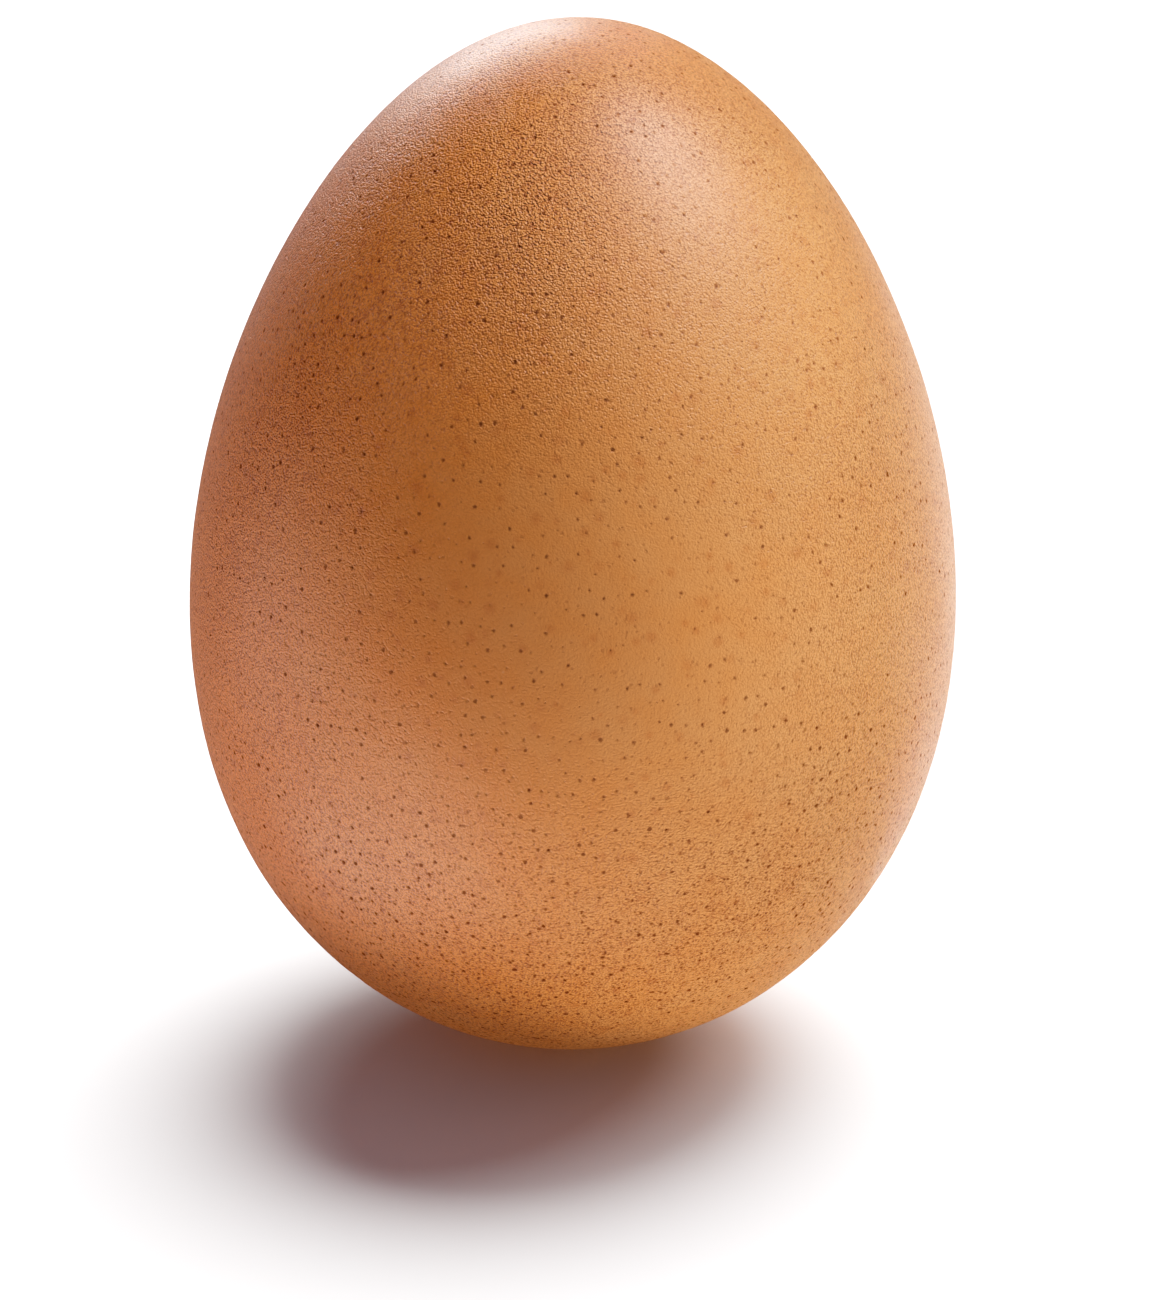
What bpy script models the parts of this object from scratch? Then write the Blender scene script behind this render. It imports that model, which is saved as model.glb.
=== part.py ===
"""A hen's egg standing on its blunt end, made as one solid.

Units are metres and +Z runs up the egg's long axis to the pointed end. The origin is the middle of the
small flat spot that the egg stands on.
"""

import math

import bmesh
import bpy

# Driving dimensions
POLE_TO_POLE = 0.0590  # the whole egg's length, before the flat spot takes a sliver off the blunt end
WIDTH = 0.0432  # across the widest ring
TAPER = 0.142  # 0 is an ellipse; more draws the pointed end in and fills the blunt end out
FLAT_SPOT_RADIUS = 0.0030  # of the flat on the blunt end

# Fineness of the mesh
MERIDIANS = 72  # steps round the long axis
RINGS = 36  # steps from the flat spot to the pointed end
WELD = 1e-6  # joins the meridians where they meet at the pointed end

# Shell finish
SHELL_COLOUR = (0.570, 0.235, 0.075, 1.0)  # orange brown
SHELL_ROUGHNESS = 0.48


def fullness(angle):
    """Relative radius of the egg at an angle from the pointed end, seen from its middle."""
    return math.sin(angle) * (1.0 - TAPER * math.cos(angle))


def widest_angle():
    """The angle where fullness() is greatest, from setting its derivative to zero."""
    return math.acos((1.0 - math.sqrt(1.0 + 8.0 * TAPER**2)) / (4.0 * TAPER))


def ring_radius(angle):
    return WIDTH / 2.0 * fullness(angle) / fullness(widest_angle())


def ring_height(angle):
    """Height above the egg's middle."""
    return POLE_TO_POLE / 2.0 * math.cos(angle)


def flat_spot_angle():
    """The angle near the blunt end where the egg is as wide as the flat spot, found by halving."""
    wide, narrow = widest_angle(), math.pi
    for _ in range(50):
        middle = (wide + narrow) / 2.0
        if ring_radius(middle) > FLAT_SPOT_RADIUS:
            wide = middle
        else:
            narrow = middle
    return middle


def meridian(bm):
    """A row of vertices and edges in the XZ plane, from the flat spot's rim up to the pointed end."""
    rim = flat_spot_angle()
    angles = [rim * (1.0 - ring / RINGS) for ring in range(RINGS + 1)]
    floor = ring_height(rim)
    row = [bm.verts.new((ring_radius(a), 0.0, ring_height(a) - floor)) for a in angles]
    edges = [bm.edges.new(pair) for pair in zip(row, row[1:])]
    return row + edges


def egg_mesh():
    bm = bmesh.new()
    bmesh.ops.spin(
        bm,
        geom=meridian(bm),
        cent=(0.0, 0.0, 0.0),
        axis=(0.0, 0.0, 1.0),
        angle=2.0 * math.pi,
        steps=MERIDIANS,
        use_merge=True,
    )
    bmesh.ops.remove_doubles(bm, verts=bm.verts, dist=WELD)
    rim = [edge for edge in bm.edges if edge.is_boundary]
    bmesh.ops.contextual_create(bm, geom=rim)  # the flat spot
    bmesh.ops.recalc_face_normals(bm, faces=bm.faces)
    mesh = bpy.data.meshes.new("egg")
    bm.to_mesh(mesh)
    bm.free()
    mesh.shade_smooth()
    return mesh


def shell_material():
    material = bpy.data.materials.new("eggshell")
    material.use_nodes = True
    shader = material.node_tree.nodes["Principled BSDF"]
    shader.inputs["Base Color"].default_value = SHELL_COLOUR
    shader.inputs["Roughness"].default_value = SHELL_ROUGHNESS
    shader.inputs["Metallic"].default_value = 0.0
    material.diffuse_color = SHELL_COLOUR
    return material


def clear_scene():
    for old in list(bpy.data.objects):
        bpy.data.objects.remove(old)


def main():
    clear_scene()
    egg = bpy.data.objects.new("egg", egg_mesh())
    egg.data.materials.append(shell_material())
    bpy.context.scene.collection.objects.link(egg)


main()
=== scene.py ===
"""The looks of a brown hen's egg: a pitted, pebbled shell on a pale floor in soft studio light."""

import math
import random

import bmesh
import bpy
from mathutils import Matrix, Vector, noise


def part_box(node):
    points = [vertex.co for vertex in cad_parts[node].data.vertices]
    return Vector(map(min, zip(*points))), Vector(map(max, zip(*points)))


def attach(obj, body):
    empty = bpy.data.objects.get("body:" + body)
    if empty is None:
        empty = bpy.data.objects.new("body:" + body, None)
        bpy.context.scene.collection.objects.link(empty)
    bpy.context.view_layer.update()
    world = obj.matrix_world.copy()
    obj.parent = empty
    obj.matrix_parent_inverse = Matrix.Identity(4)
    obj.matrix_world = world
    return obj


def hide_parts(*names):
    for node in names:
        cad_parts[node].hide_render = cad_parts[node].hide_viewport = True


MM = 0.001

# The egg's outline, as the solid has it
TAPER = 0.142
FLAT_SPOT_RADIUS = 3.0 * MM
HALVINGS = 50

# The shell's mesh: a ball whose corners are shaken off their even grid
BALL_DIVISIONS = 6
BALL_SPACING = 0.0376
SHAKE = 0.26
SEED = 20

# Pores: a collar let into the shell round each one, a rim inside it and a sunk middle
COLLAR = 0.19 * MM
COLLAR_ROOM = 1.25
PORES_AT_TIP = 0.55
PORES_AT_BLUNT_END = 0.82
PORE_PATCH_SIZE = 6.0 * MM
PORE_PATCHINESS = 0.30
PORE_SMALLEST = 0.28
PORE_LARGEST = 0.66
PORE_DEPTH = 0.16 * MM
PORE_STRETCH = 0.45
PORE_FAINTEST = 0.30
PORE_RARITY = 1.1
PORE_FADE_TO_TIP = 0.25
RIM_TINT = 0.45
PORE_TINT = "pore"
RIM_INSET = 0.25
SHALLOWEST = 0.4

# Slow waves in the shell's surface, all of them inward
WAVE_SIZE = 5.0 * MM
WAVE_DEPTH = 0.05 * MM

# Relief too fine for the mesh: how far apart or wide each kind is, and how deep or high
PEBBLE_SPACING = 0.132 * MM
PEBBLE_HEIGHT = 0.080 * MM
PIT_SPACING = 0.23 * MM
PIT_DEPTH = 0.030 * MM
GRAIN_SIZE = 0.09 * MM
GRAIN_HEIGHT = 0.075 * MM
SWELL_SIZE = 1.3 * MM
SWELL_HEIGHT = 0.020 * MM
FRECKLE_DEPTH = 0.015 * MM
WANDER_SIZE = 0.40 * MM
WANDER_REACH = 0.05 * MM

# Two patches where the shell is smoothest: their middles, how far they reach at full and at none,
# and how much of the grain is left in them
CALM_PATCHES = (
    ((0.0 * MM, -20.0 * MM, 31.0 * MM), 5.0 * MM, 22.0 * MM, 0.16),
    ((8.0 * MM, -12.0 * MM, 47.0 * MM), 4.0 * MM, 13.0 * MM, 0.55),
)

# Shell pigments; the golden one is partly a painted tint of the key-lit side, and the pit tint is
# painted shade
RUDDY = (0.830, 0.186, 0.0080, 1.0)
GOLDEN = (0.830, 0.333, 0.106, 1.0)
PORE_BROWN = (0.160, 0.034, 0.008, 1.0)
SPECK_TINT = (0.680, 0.480, 0.300, 1.0)
# Painted shade: the tint that darkens the pits, the valleys between pebbles and the grain's low spots
PAINTED_SHADE_TINT = (0.330, 0.180, 0.080, 1.0)
CHALK = (0.900, 0.560, 0.300, 1.0)

# How the ruddy side turns to the golden one on the key light's side, partly the shell's own tone and
# partly painted light, and the patches that break it up
GOLDEN_TOWARDS_KEY_LIGHT = 0.60
GOLDEN_UP = 0.05
GOLDEN_IN_THE_MIDDLE = 0.39
PATCH_SIZE = 9.0 * MM
PATCH_STRENGTH = 0.30
MOTTLE_SIZE = 2.2 * MM
MOTTLE_STRENGTH = 0.35

# Marks scattered on the shell: spacing, radius, the share of places that have one, and softness
SPECKS = (0.98 * MM, 0.22 * MM, 0.88, 0.8)
SPECK_STRENGTH = 0.42
CHALK_DOTS = (4.0 * MM, 0.10 * MM, 0.35, 0.4)
CHALK_STRENGTH = 0.35
FRECKLES = (0.45 * MM, 0.078 * MM, 0.78, 0.40)
FRECKLE_STRENGTH = 0.90

# How much painted shade darkens the shell in the pits, the valleys between pebbles and the grain
BLUNT_BELOW = 0.10
POINTED_ABOVE = 0.60
BLUNT_LOOK_AT_TIP = 0.35
PIT_EDGE = 0.50
PIT_SHADE = 0.60
PIT_SHADE_BLUNT = 0.40
VALLEY_START = 0.10
VALLEY_END = 0.45
VALLEY_SHADE = 0.45
VALLEY_FADE_BLUNT = 0.20
GRAIN_CLEAR = 0.50
GRAIN_DARK = 0.34
GRAIN_SHADE = 0.30
PORE_EDGE = 0.60

# Finish
SHELL_ROUGHNESS = 0.42
SHELL_ROUGHNESS_SPREAD = 0.10
SHELL_SPECULAR = 0.20
COAT = 0.60
COAT_LOST_IN_GRAIN = 0.45
COAT_ROUGHNESS = 0.43
MATT = 0.9

# Soft boxes: azimuth, elevation, width and height at arm's length one, brightness, colour, and
# whether the box shows in the shell's gloss. Those under the horizon stand for light off the floor.
BOX_DISTANCE = 0.5
WHITE = (1.0, 1.0, 1.0)
WARM = (1.0, 0.9, 0.8)
SOFT_BOXES = (
    ("key_light", 90.0, 56.0, 0.40, 0.40, 12.0, WHITE, True),
    ("top_light", 90.0, 70.0, 0.35, 0.30, 16.0, WHITE, True),
    ("back_light", -165.0, 25.0, 0.40, 0.35, 11.0, WHITE, True),
    ("floor_glow_left", -70.0, -50.0, 1.00, 0.50, 4.0, WARM, True),
    ("floor_glow_side", -95.0, -15.0, 0.60, 0.40, 2.0, WARM, True),
    ("floor_glow_right", 70.0, -50.0, 0.70, 0.50, 8.0, WHITE, False),
    ("floor_glow_behind", 150.0, -20.0, 0.60, 0.50, 8.0, WHITE, False),
    ("floor_sheen_behind", 150.0, -20.0, 0.60, 0.50, 1.1, WHITE, True),
    ("floor_glow_front", 0.0, -60.0, 0.90, 0.70, 0.5, WHITE, True),
)

# The dark disc that stands for the floor light lost in the egg's own shadow: full strength out to its
# core, and none at its reach
CONTACT_SHADE_MIDDLE = (-8.0 * MM, -4.0 * MM, -0.10 * MM)
CONTACT_SHADE_CORE = 13.0 * MM
CONTACT_SHADE_REACH = 24.0 * MM
CONTACT_SHADE_STRENGTH = 0.75
CONTACT_SHADE_GREY = (0.02, 0.02, 0.02, 1.0)
CONTACT_SHADE_SIDES = 48

# Floor, and what lights it: azimuth, elevation, spread, strength and colour
SHEET_SIZE = 20.0
FLOOR_WHITENESS = 0.45
CARD_WHITENESS = 0.042
CARD_DROP = 0.05 * MM
BACKDROP = 1.0
FLOOR_SUNS = (
    ("floor_light", 160.0, 60.0, 50.0, 8.0, WHITE),
    ("floor_haze", 155.0, 50.0, 75.0, 5.5, WHITE),
    ("floor_fill", 0.0, 90.0, 179.0, 0.8, (1.0, 0.7, 0.8)),
)

# Camera
CAMERA_DISTANCE = 0.300
CAMERA_ELEVATION = 20.0
CAMERA_LENS = 146.9
CAMERA_ROLL = math.radians(0.89)
AIM_RIGHT = 0.73 * MM
AIM_BELOW_MIDDLE = 6.73 * MM
CLIP_START = 0.01

# Tone curve
SHOULDER = 1.0
RESPONSE_STEPS = 12


class Egg:
    """The egg's outline, from the CAD node's box."""

    def __init__(self, node):
        low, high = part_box(node)
        self.half_width = (high.x - low.x + high.y - low.y) / 4.0
        self.top = high.z
        cosine = (1.0 - math.sqrt(1.0 + 8.0 * TAPER**2)) / (4.0 * TAPER)
        self.fullest = self.fullness(math.acos(cosine))
        self.half_length = self.length_below_top() / 2.0

    @staticmethod
    def fullness(angle):
        return math.sin(angle) * (1.0 - TAPER * math.cos(angle))

    def radius(self, angle):
        return self.half_width * self.fullness(angle) / self.fullest

    def length_below_top(self):
        """Pole to pole length, from the height that the flat spot leaves."""
        wide, narrow = math.pi / 2.0, math.pi
        for _ in range(HALVINGS):
            middle = (wide + narrow) / 2.0
            if self.radius(middle) > FLAT_SPOT_RADIUS:
                wide = middle
            else:
                narrow = middle
        return 2.0 * self.top / (1.0 - math.cos(middle))

    def point(self, direction):
        """The point of the egg's surface for a unit vector from its middle."""
        angle = math.acos(max(-1.0, min(1.0, direction.z)))
        around = math.atan2(direction.y, direction.x)
        radius = self.radius(angle)
        height = self.top - self.half_length * (1.0 - direction.z)
        return Vector((radius * math.cos(around), radius * math.sin(around), max(height, 0.0)))

    def height_share(self, point):
        """0 at the blunt end that it stands on, 1 at the pointed end."""
        return point.z / self.top


def shaken_ball(egg, chance):
    """A ball of triangles with its corners off their grid, drawn out to the egg's shape."""
    bm = bmesh.new()
    bmesh.ops.create_icosphere(bm, subdivisions=BALL_DIVISIONS, radius=1.0)
    reach = SHAKE * BALL_SPACING
    for vert in bm.verts:
        shake = Vector((chance.uniform(-reach, reach) for _ in range(3)))
        vert.co = egg.point((vert.co + shake).normalized())
    return bm


def pore_sites(bm, egg, chance):
    """The corners that become pores: most at the blunt end, in loose patches, and none too close."""
    sites = []
    taken = set()
    for vert in bm.verts:
        share = egg.height_share(vert.co)
        likely = PORES_AT_BLUNT_END + (PORES_AT_TIP - PORES_AT_BLUNT_END) * share
        likely += PORE_PATCHINESS * noise.noise(vert.co / PORE_PATCH_SIZE)
        chosen = chance.random() < likely
        if chosen and all(has_room(vert, edge, taken) for edge in vert.link_edges):
            sites.append(vert)
            taken.add(vert)
    return sites


def has_room(vert, edge, taken):
    """True where this edge is long enough for a collar, or for two if both its ends are pores."""
    collars = 2 if edge.other_vert(vert) in taken else 1
    return edge.calc_length() > collars * COLLAR * COLLAR_ROOM


def rim_corners(collar, size, stretch, way, outward):
    """The corners of a pore's rim: its collar drawn in, and stretched one way, as few are round."""
    middle = sum(collar, Vector()) / len(collar)
    along = way.cross(outward).normalized()
    corners = []
    for corner in collar:
        arm = (corner - middle) * size
        arm += along * arm.dot(along) * stretch
        corners.append(middle + arm)
    return corners


def pit_shell(bm, egg, chance):
    """Cuts the pores into the mesh, and writes how dark each corner is as an attribute."""
    tint = bm.verts.layers.float.new(PORE_TINT)
    cut = bmesh.ops.bevel(
        bm,
        geom=pore_sites(bm, egg, chance),
        offset=COLLAR,
        offset_type="ABSOLUTE",
        affect="VERTICES",
        segments=1,
        profile=0.5,
        material=-1,
    )
    floors = cut["faces"]
    bm.normal_update()
    collars = [[vert.co.copy() for vert in face.verts] for face in floors]
    bmesh.ops.inset_individual(bm, faces=floors, thickness=RIM_INSET * COLLAR, depth=0.0)
    depths = []
    for face, collar in zip(floors, collars):
        outward = face.normal.copy()
        share = egg.height_share(collar[0])
        strength = PORE_FAINTEST + (1.0 - PORE_FAINTEST) * chance.random() ** PORE_RARITY
        strength *= 1.0 - PORE_FADE_TO_TIP * share
        spread = (PORE_LARGEST - PORE_SMALLEST) * chance.random() * math.sqrt(strength)
        size = PORE_SMALLEST + spread
        way = Vector((chance.gauss(0, 1), chance.gauss(0, 1), chance.gauss(0, 1)))
        corners = rim_corners(collar, size, chance.uniform(0.0, PORE_STRETCH), way, outward)
        for vert, corner in zip(face.verts, corners):
            vert.co = corner
            vert[tint] = RIM_TINT * strength
        deep = SHALLOWEST + (1.0 - SHALLOWEST) * strength
        depths.append((outward * PORE_DEPTH * size * deep, strength))
    poked = bmesh.ops.poke(bm, faces=floors, offset=0.0, center_mode="MEAN")
    for vert, (depth, strength) in zip(poked["verts"], depths):
        vert.co -= depth
        vert[tint] = strength


def wave_shell(bm, egg):
    """Lets slow hollows into the shell, never past the solid, and none in the flat spot."""
    centre = Vector((0.0, 0.0, egg.top - egg.half_length))
    for vert in bm.verts:
        hollow = 0.5 + 0.5 * noise.noise(vert.co / WAVE_SIZE)
        fade = min(1.0, vert.co.z / WAVE_SIZE)
        vert.co += (centre - vert.co).normalized() * WAVE_DEPTH * hollow * fade


def shell_mesh(egg):
    chance = random.Random(SEED)
    bm = shaken_ball(egg, chance)
    pit_shell(bm, egg, chance)
    wave_shell(bm, egg)
    mesh = bpy.data.meshes.new("shell")
    bm.to_mesh(mesh)
    bm.free()
    mesh.shade_smooth()
    return mesh


class Socket:
    """One output of a node, so that sums of sockets and numbers read as plain sums."""

    def __init__(self, paint, link):
        self.paint = paint
        self.link = link

    def math(self, operation, *values):
        return self.paint.node("ShaderNodeMath", {"operation": operation}, list(enumerate(values)))

    def __add__(self, other):
        return self.math("ADD", self, other)

    def __sub__(self, other):
        return self.math("SUBTRACT", self, other)

    def __rsub__(self, other):
        return self.math("SUBTRACT", other, self)

    def __mul__(self, other):
        return self.math("MULTIPLY", self, other)

    def __truediv__(self, other):
        return self.math("DIVIDE", self, other)

    __radd__ = __add__
    __rmul__ = __mul__


class Paint:
    """The nodes of one material."""

    def __init__(self, name):
        self.material = bpy.data.materials.new(name)
        self.material.use_nodes = True
        self.tree = self.material.node_tree
        self.shader = self.tree.nodes["Principled BSDF"]

    def node(self, kind, settings, values, output=0):
        """Adds a node: its settings first, then what its sockets hold or are linked to."""
        made = self.tree.nodes.new(kind)
        for setting, value in settings.items():
            setattr(made, setting, value)
        self.fill(made, values)
        return Socket(self, made.outputs[output])

    def fill(self, node, values):
        for key, value in values:
            if isinstance(value, Socket):
                self.tree.links.new(value.link, node.inputs[key])
            else:
                node.inputs[key].default_value = value

    def place(self):
        return self.node("ShaderNodeTexCoord", {}, [], output="Object")

    def split(self, vector, axis):
        return self.node("ShaderNodeSeparateXYZ", {}, [(0, vector)], output=axis)

    def clouds(self, where, size, detail):
        """Noise whose patches are about this wide; 0 to 1, half on average."""
        values = [("Vector", where), ("Scale", 1.0 / size), ("Detail", detail)]
        return self.node("ShaderNodeTexNoise", {}, values)

    def shift(self, where, size, reach):
        """Places nudged about, so that what is drawn at them has no straight edges."""
        waves = [("Vector", where), ("Scale", 1.0 / size)]
        nudge = self.node("ShaderNodeTexNoise", {}, waves, output="Color")
        values = [(0, nudge), (1, (2.0 * reach,) * 3), (2, where)]
        return self.node("ShaderNodeVectorMath", {"operation": "MULTIPLY_ADD"}, values)

    def distance(self, where, point):
        values = [(0, where), (1, point)]
        return self.node("ShaderNodeVectorMath", {"operation": "DISTANCE"}, values, output="Value")

    def dots(self, where, spacing):
        """Distance to scattered points, as a share of their spacing, and a number for each point."""
        settings = {"feature": "F1", "distance": "EUCLIDEAN"}
        values = [("Vector", where), ("Scale", 1.0 / spacing), ("Randomness", 1.0)]
        distance = self.node("ShaderNodeTexVoronoi", settings, values, output="Distance")
        chance = Socket(self, distance.link.node.outputs["Color"])
        return distance, chance

    def ease(self, value, start, end, low=0.0, high=1.0):
        """Runs smoothly from low to high as the value goes from start to end."""
        settings = {"interpolation_type": "SMOOTHSTEP"}
        values = [("Value", value), (1, start), (2, end), (3, low), (4, high)]
        return self.node("ShaderNodeMapRange", settings, values)

    def mix(self, share, first, second, way="MIX"):
        settings = {"data_type": "RGBA", "blend_type": way, "clamp_factor": True}
        return self.node("ShaderNodeMix", settings, [(0, share), (6, first), (7, second)], output=2)

    def bump(self, height):
        """Height in metres."""
        values = [("Height", height), ("Strength", 1.0), ("Distance", 1.0)]
        return self.node("ShaderNodeBump", {}, values)

    def finish(self, **inputs):
        self.fill(self.shader, [(name.replace("_", " "), value) for name, value in inputs.items()])
        return self.material

    def hollow(self, share, colour, normal):
        """Where the share is one, a matt finish of this colour in place of the shell's sheen."""
        values = [("Base Color", colour), ("Roughness", MATT), ("Specular IOR Level", 0.0)]
        values.append(("Normal", normal))
        matt = self.node("ShaderNodeBsdfPrincipled", {}, values)
        sheen = Socket(self, self.shader.outputs[0])
        both = self.node("ShaderNodeMixShader", {}, [(0, share), (1, sheen), (2, matt)])
        self.tree.links.new(both.link, self.tree.nodes["Material Output"].inputs["Surface"])


def shell_pigment_and_lit_side_tint(paint, where, egg):
    """Ruddy on one side and golden on the other, in soft patches. The golden side faces the key light,
    so this is partly the shell's own tone and partly a painted tint of the lit side.
    """
    across = paint.split(where, "X") * (GOLDEN_TOWARDS_KEY_LIGHT / egg.half_width)
    up = paint.split(where, "Z") * (GOLDEN_UP / egg.half_width)
    patches = paint.clouds(where, PATCH_SIZE, detail=1.0) - 0.5
    mottle = paint.clouds(where, MOTTLE_SIZE, detail=2.0) - 0.5
    share = across + up + patches * PATCH_STRENGTH + mottle * MOTTLE_STRENGTH + GOLDEN_IN_THE_MIDDLE
    return paint.mix(share, RUDDY, GOLDEN)


def scattered(paint, where, spacing, radius, present, softness):
    """A mask of small round marks: their spacing and radius, and the share of points that have one."""
    distance, chance = paint.dots(where, spacing)
    pick = paint.split(chance, "X")
    grow = paint.split(chance, "Y")
    reach = grow * (radius / spacing) + 0.4 * radius / spacing
    near = paint.ease(distance / reach, 1.0 - softness, 1.0 + softness, 1.0, 0.0)
    return near * paint.ease(pick, present, present + 0.04, 1.0, 0.0)


def shell_coarseness(paint, where):
    """One where the grain is at its coarsest, and less in the calm patches."""
    coarse = 1.0
    for middle, near, far, level in CALM_PATCHES:
        coarse = paint.ease(paint.distance(where, middle), near, far, level, 1.0) * coarse
    return coarse


def shell_material(egg):
    paint = Paint("eggshell")
    where = paint.place()
    colour = shell_pigment_and_lit_side_tint(paint, where, egg)
    low, high = BLUNT_BELOW * egg.top, POINTED_ABOVE * egg.top
    blunt = paint.ease(paint.split(where, "Z"), low, high, 1.0, BLUNT_LOOK_AT_TIP)

    coarse = shell_coarseness(paint, where)
    wander = paint.shift(where, WANDER_SIZE, WANDER_REACH)
    pits = paint.ease(paint.dots(wander, PIT_SPACING)[0], 0.0, PIT_EDGE, 1.0, 0.0)
    pebbles = paint.dots(wander, PEBBLE_SPACING)[0]
    pebbles = pebbles * pebbles
    grain = paint.clouds(where, GRAIN_SIZE, detail=0.0)
    swell = paint.clouds(where, SWELL_SIZE, detail=1.0)

    specks = scattered(paint, where, *SPECKS)
    colour = paint.mix(specks * SPECK_STRENGTH, colour, SPECK_TINT, way="MULTIPLY")
    chalk = scattered(paint, where, *CHALK_DOTS)
    colour = paint.mix(chalk * CHALK_STRENGTH, colour, CHALK)
    # Painted shade: the base colour is darkened in the pits, the valleys between pebbles and the
    # grain's low spots, where the relief would be shaded
    painted_valley_shade = paint.ease(pebbles, VALLEY_START, VALLEY_END)
    painted_valley_shade = painted_valley_shade * (VALLEY_SHADE - pits * VALLEY_SHADE) * (1.0 - blunt * VALLEY_FADE_BLUNT)
    painted_grain_shade = paint.ease(grain, GRAIN_CLEAR, GRAIN_DARK, 0.0, GRAIN_SHADE)
    painted_shade = (pits * (PIT_SHADE + blunt * PIT_SHADE_BLUNT) + painted_valley_shade + painted_grain_shade) * coarse
    colour = paint.mix(painted_shade, colour, PAINTED_SHADE_TINT, way="MULTIPLY")

    freckles = scattered(paint, wander, *FRECKLES)
    pore = paint.node("ShaderNodeAttribute", {"attribute_name": PORE_TINT}, [], output="Fac")
    fine = (grain - 0.5) * GRAIN_HEIGHT - pebbles * PEBBLE_HEIGHT - pits * PIT_DEPTH
    height = fine * coarse + (swell - 0.5) * SWELL_HEIGHT - freckles * FRECKLE_DEPTH
    normal = paint.bump(height)
    hollow = paint.ease(pore, 0.0, PORE_EDGE) + freckles * blunt * FRECKLE_STRENGTH
    hollow = hollow * (0.5 + coarse * 0.5)
    paint.hollow(hollow.math("MINIMUM", hollow, 1.0), PORE_BROWN, normal)
    return paint.finish(
        Base_Color=colour,
        Roughness=SHELL_ROUGHNESS + (grain - 0.5) * SHELL_ROUGHNESS_SPREAD,
        Specular_IOR_Level=SHELL_SPECULAR,
        Coat_Weight=COAT - painted_shade * COAT_LOST_IN_GRAIN,
        Coat_Roughness=COAT_ROUGHNESS,
        Normal=normal,
    )


def paper_material(name, whiteness):
    paint = Paint(name)
    return paint.finish(
        Base_Color=(whiteness, whiteness, whiteness, 1.0),
        Roughness=MATT,
        Specular_IOR_Level=0.0,
    )


def show(name, data):
    made = bpy.data.objects.new(name, data)
    bpy.context.scene.collection.objects.link(made)
    return made


def make_shell(egg):
    shell = show("shell", shell_mesh(egg))
    shell.data.materials.append(shell_material(egg))
    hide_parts("egg")
    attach(shell, "root")
    return shell


def make_sheet(name, whiteness, drop):
    """A wide flat sheet of paper, staged, this far under the egg."""
    bm = bmesh.new()
    place = Matrix.Translation((0.0, 0.0, -drop))
    bmesh.ops.create_grid(bm, x_segments=1, y_segments=1, size=SHEET_SIZE, matrix=place)
    mesh = bpy.data.meshes.new(name)
    bm.to_mesh(mesh)
    bm.free()
    mesh.materials.append(paper_material(name, whiteness))
    sheet = show(name, mesh)
    return sheet


def make_floor():
    """The white floor that is seen, over a grey one that throws less light up at the shell."""
    floor = make_sheet("floor", FLOOR_WHITENESS, 0.0)
    floor.visible_diffuse = False
    floor.visible_glossy = False
    floor.visible_shadow = False
    bounce = make_sheet("bounce_card", CARD_WHITENESS, CARD_DROP)
    bounce.visible_camera = False
    bounce.visible_shadow = False
    return floor, bounce


def contact_shade_material():
    """Dark in the middle and clear at its rim."""
    paint = Paint("contact_shade")
    away = paint.distance(paint.place(), CONTACT_SHADE_MIDDLE)
    return paint.finish(
        Base_Color=CONTACT_SHADE_GREY,
        Roughness=MATT,
        Specular_IOR_Level=0.0,
        Alpha=paint.ease(away, CONTACT_SHADE_CORE, CONTACT_SHADE_REACH, CONTACT_SHADE_STRENGTH, 0.0),
    )


def make_contact_shade():
    """A dark disc under the egg and its shadow, which keeps light off the lowest part of the shell."""
    bm = bmesh.new()
    place = Matrix.Translation(CONTACT_SHADE_MIDDLE)
    bmesh.ops.create_circle(
        bm,
        cap_ends=True,
        segments=CONTACT_SHADE_SIDES,
        radius=CONTACT_SHADE_REACH,
        matrix=place,
    )
    mesh = bpy.data.meshes.new("contact_shade")
    bm.to_mesh(mesh)
    bm.free()
    mesh.materials.append(contact_shade_material())
    shade = show("contact_shade", mesh)
    shade.visible_camera = False
    shade.visible_diffuse = False
    shade.visible_glossy = False


def direction_to(azimuth, elevation):
    """Unit vector towards a light; azimuth 0 is towards the camera and 90 to its right."""
    a, e = math.radians(azimuth), math.radians(elevation)
    return Vector((math.sin(a) * math.cos(e), -math.cos(a) * math.cos(e), math.sin(e)))


def softbox(middle, name, azimuth, elevation, width, height, brightness, colour, glossy):
    """A soft box facing the egg; width and height are what it spans at arm's length one."""
    lamp = bpy.data.lights.new(name, "AREA")
    lamp.shape = "RECTANGLE"
    lamp.size = width * BOX_DISTANCE
    lamp.size_y = height * BOX_DISTANCE
    lamp.energy = brightness * math.pi * lamp.size * lamp.size_y
    lamp.color = colour
    lamp.cycles.use_multiple_importance_sampling = False
    box = show(name, lamp)
    way = direction_to(azimuth, elevation)
    box.location = middle + way * BOX_DISTANCE
    box.rotation_euler = way.to_track_quat("Z", "Y").to_euler()
    box.visible_camera = False
    box.visible_glossy = glossy
    return box


def group_of(name, things):
    group = bpy.data.collections.new(name)
    for thing in things:
        group.objects.link(thing)
    return group


def only_lights(lamp, *things):
    """Light linking: this lamp lights only these things, and everything still casts its shadow."""
    lamp.light_linking.receiver_collection = group_of(lamp.name + " lights", things)


def floor_sun(name, azimuth, elevation, spread, strength, colour):
    lamp = bpy.data.lights.new(name, "SUN")
    lamp.angle = math.radians(spread)
    lamp.energy = strength
    lamp.color = colour
    sun = show(name, lamp)
    sun.rotation_euler = direction_to(azimuth, elevation).to_track_quat("Z", "Y").to_euler()
    return sun


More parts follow.
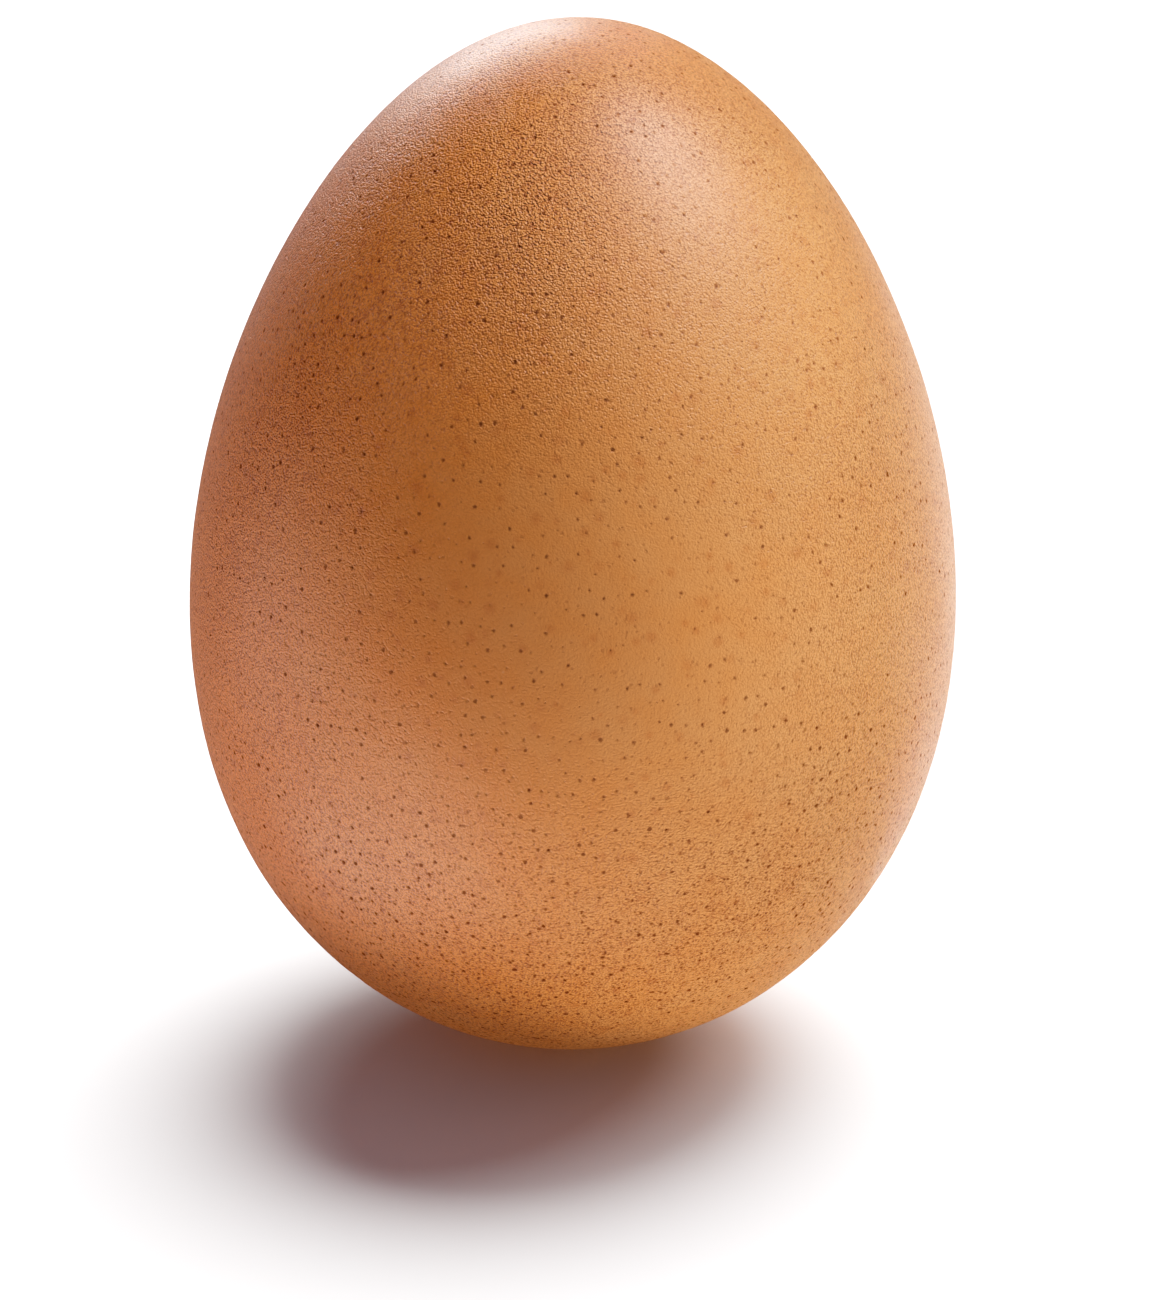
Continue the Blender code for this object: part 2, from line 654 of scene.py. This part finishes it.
def make_world():
    """A white backdrop that only the camera sees."""
    world = bpy.data.worlds.new("studio")
    bpy.context.scene.world = world
    world.use_nodes = True
    tree = world.node_tree
    tree.nodes.clear()
    path = tree.nodes.new("ShaderNodeLightPath")
    bright = tree.nodes.new("ShaderNodeBackground")
    dark = tree.nodes.new("ShaderNodeBackground")
    mix = tree.nodes.new("ShaderNodeMixShader")
    out = tree.nodes.new("ShaderNodeOutputWorld")
    bright.inputs["Color"].default_value = (1.0, 1.0, 1.0, 1.0)
    bright.inputs["Strength"].default_value = BACKDROP
    dark.inputs["Strength"].default_value = 0.0
    tree.links.new(path.outputs["Is Camera Ray"], mix.inputs[0])
    tree.links.new(dark.outputs[0], mix.inputs[1])
    tree.links.new(bright.outputs[0], mix.inputs[2])
    tree.links.new(mix.outputs[0], out.inputs[0])


def set_response():
    """The camera's response: bright tones are pressed together, as on film."""
    view = bpy.context.scene.view_settings
    view.view_transform = "Standard"
    view.use_curve_mapping = True
    curve = view.curve_mapping.curves[3]
    for step in range(1, RESPONSE_STEPS):
        light = (step / RESPONSE_STEPS) ** 2
        curve.points.new(light, (1.0 + SHOULDER) * light / (light + SHOULDER))
    view.curve_mapping.update()


def make_camera(egg):
    lens = bpy.data.cameras.new("camera")
    lens.lens = CAMERA_LENS
    lens.clip_start = CLIP_START
    camera = show("camera", lens)
    aim = Vector((AIM_RIGHT, 0.0, egg.top - egg.half_length - AIM_BELOW_MIDDLE))
    back = direction_to(0.0, CAMERA_ELEVATION)
    camera.location = aim + back * CAMERA_DISTANCE
    turn = back.to_track_quat("Z", "Y").to_matrix() @ Matrix.Rotation(CAMERA_ROLL, 3, "Z")
    camera.rotation_euler = turn.to_euler()
    bpy.context.scene.camera = camera


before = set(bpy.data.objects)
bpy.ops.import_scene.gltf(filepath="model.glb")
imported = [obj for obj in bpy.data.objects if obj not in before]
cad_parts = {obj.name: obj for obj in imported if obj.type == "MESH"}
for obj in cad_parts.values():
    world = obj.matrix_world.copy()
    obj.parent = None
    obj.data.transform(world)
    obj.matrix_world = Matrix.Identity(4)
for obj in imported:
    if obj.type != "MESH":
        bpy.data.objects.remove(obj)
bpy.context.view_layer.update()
egg = Egg("egg")
shell = make_shell(egg)
floor, bounce_card = make_floor()
make_contact_shade()
middle = Vector((0.0, 0.0, egg.top - egg.half_length))
for box in SOFT_BOXES:
    only_lights(softbox(middle, *box), shell)
for sun in FLOOR_SUNS:
    only_lights(floor_sun(*sun), floor, bounce_card)
make_world()
make_camera(egg)
set_response()
